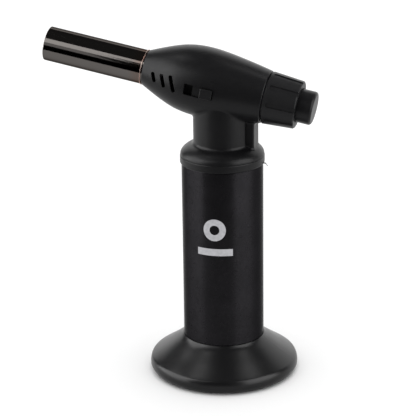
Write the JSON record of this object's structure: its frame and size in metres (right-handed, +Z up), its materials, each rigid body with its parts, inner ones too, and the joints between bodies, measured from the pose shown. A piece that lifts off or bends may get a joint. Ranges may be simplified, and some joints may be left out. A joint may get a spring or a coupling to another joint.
{
  "type": "butane torch",
  "caption": "Hand-held refillable butane torch: round foot, cylindrical grip over the gas tank, angled moulded head, metal flame tube, rear flow knob, ignition button and lock slider.",
  "frame": {"origin": "under the middle of the torch's box, in the plane the foot stands on; the grip's axis is at X = +29.46 mm", "axes": "+Z up along the grip, -X the way the burner points, the head's split plane in XZ"},
  "size_m": [0.1905, 0.1038, 0.2398],
  "materials": {
    "shell_plastic": "satin",
    "knob_plastic": "fine matt texture",
    "slider_plastic": "satin",
    "foot_plastic": "satin",
    "sleeve_anodised": "brushed, black anodised",
    "tank_nylon": "natural moulded",
    "gunmetal": "polished black nickel",
    "copper_trim": "polished copper",
    "brass": "machined",
    "steel": "machined",
    "zinc": "die cast",
    "rubber": "matt",
    "hose_silicone": "smooth",
    "ceramic": "glazed ceramic",
    "inner_plastic": "moulded",
    "felt": "pressed felt",
    "wire_insulation": "smooth"
  },
  "bodies": {
    "torch": {"head_shell_left": "shell_plastic", "head_shell_right": "shell_plastic", "shell_screws": "steel", "collar_ring": "shell_plastic", "retaining_clip": "steel", "grip_sleeve": "sleeve_anodised", "fuel_tank": "tank_nylon", "tank_lid": "tank_nylon", "tank_lid_seal": "rubber", "gas_filter": "felt", "outlet_valve_body": "brass", "outlet_valve_spring": "steel", "fill_valve_body": "brass", "fill_valve_spring": "steel", "fill_valve_seal": "rubber", "gas_hose": "hose_silicone", "valve_block": "brass", "spindle_seal": "rubber", "feed_pipe": "brass", "jet_holder": "brass", "gas_jet": "brass", "mixing_tube": "steel", "burner_mount": "zinc", "flame_tube": "gunmetal", "trim_ring": "copper_trim", "flame_holder": "steel", "flame_mesh": "steel", "electrode_insulator": "ceramic", "electrode_wire": "steel", "ignition_lead": "wire_insulation", "piezo_case": "inner_plastic", "piezo_spring": "steel", "piezo_contact": "brass", "igniter_bracket": "inner_plastic", "lever_pin": "steel", "lock_guide": "shell_plastic"},
    "foot": {"foot": "foot_plastic", "foot_socket": "foot_plastic", "foot_ledge": "foot_plastic", "foot_ribs": "foot_plastic", "foot_pad": "rubber"},
    "knob": {"flow_knob": "knob_plastic", "knob_gear_ring": "inner_plastic"},
    "needle": {"needle_spindle": "brass", "needle_pinion": "inner_plastic"},
    "button": {"ignition_button": "shell_plastic", "button_pusher": "inner_plastic", "piezo_plunger": "inner_plastic"},
    "lever": {"valve_lever": "zinc"},
    "outlet_stem": {"outlet_valve_stem": "brass"},
    "fill_stem": {"fill_valve_stem": "brass"},
    "lock": {"lock_slider": "slider_plastic"}
  },
  "joints": [
    {"name": "foot_pull", "type": "slide", "parent": "torch", "child": "foot", "axis": [0, 0, -1], "range_m": [0, 0.02]},
    {"name": "knob_turn", "type": "hinge", "parent": "torch", "child": "knob", "pos_m": [0.07174, 0, 0.19766], "axis": [-0.9833, 0, 0.1822], "range_deg": [0, 180]},
    {"name": "needle_turn", "type": "hinge", "parent": "torch", "child": "needle", "pos_m": [0.04759, 0, 0.1936], "axis": [-0.9833, 0, 0.1822], "range_deg": [0, 540]},
    {"name": "button_press", "type": "slide", "parent": "torch", "child": "button", "axis": [-0.9833, 0, 0.1822], "range_m": [0, 0.006], "stiffness_N_per_m": 1500, "springref_m": -0.003, "deforming": ["piezo_spring"]},
    {"name": "lever_swing", "type": "hinge", "parent": "torch", "child": "lever", "pos_m": [0.02046, 0, 0.1626], "axis": [0, -1, 0], "range_deg": [0, 8.03]},
    {"name": "outlet_lift", "type": "slide", "parent": "torch", "child": "outlet_stem", "axis": [0, 0, 1], "range_m": [0, 0.0013], "deforming": ["outlet_valve_spring"]},
    {"name": "fill_press", "type": "slide", "parent": "torch", "child": "fill_stem", "axis": [0, 0, 1], "range_m": [0, 0.0015], "stiffness_N_per_m": 800, "springref_m": -0.001, "deforming": ["fill_valve_spring"]},
    {"name": "lock_slide", "type": "slide", "parent": "torch", "child": "lock", "axis": [-0.9833, 0, 0.1822], "range_m": [0, 0.0052]}
  ],
  "couplings": [
    {"joint": "needle_turn", "follows": "knob_turn", "ratio": 3},
    {"joint": "lever_swing", "follows": "button_press", "rad_per_m": 23.33},
    {"joint": "outlet_lift", "follows": "button_press", "ratio": 0.21}
  ]
}
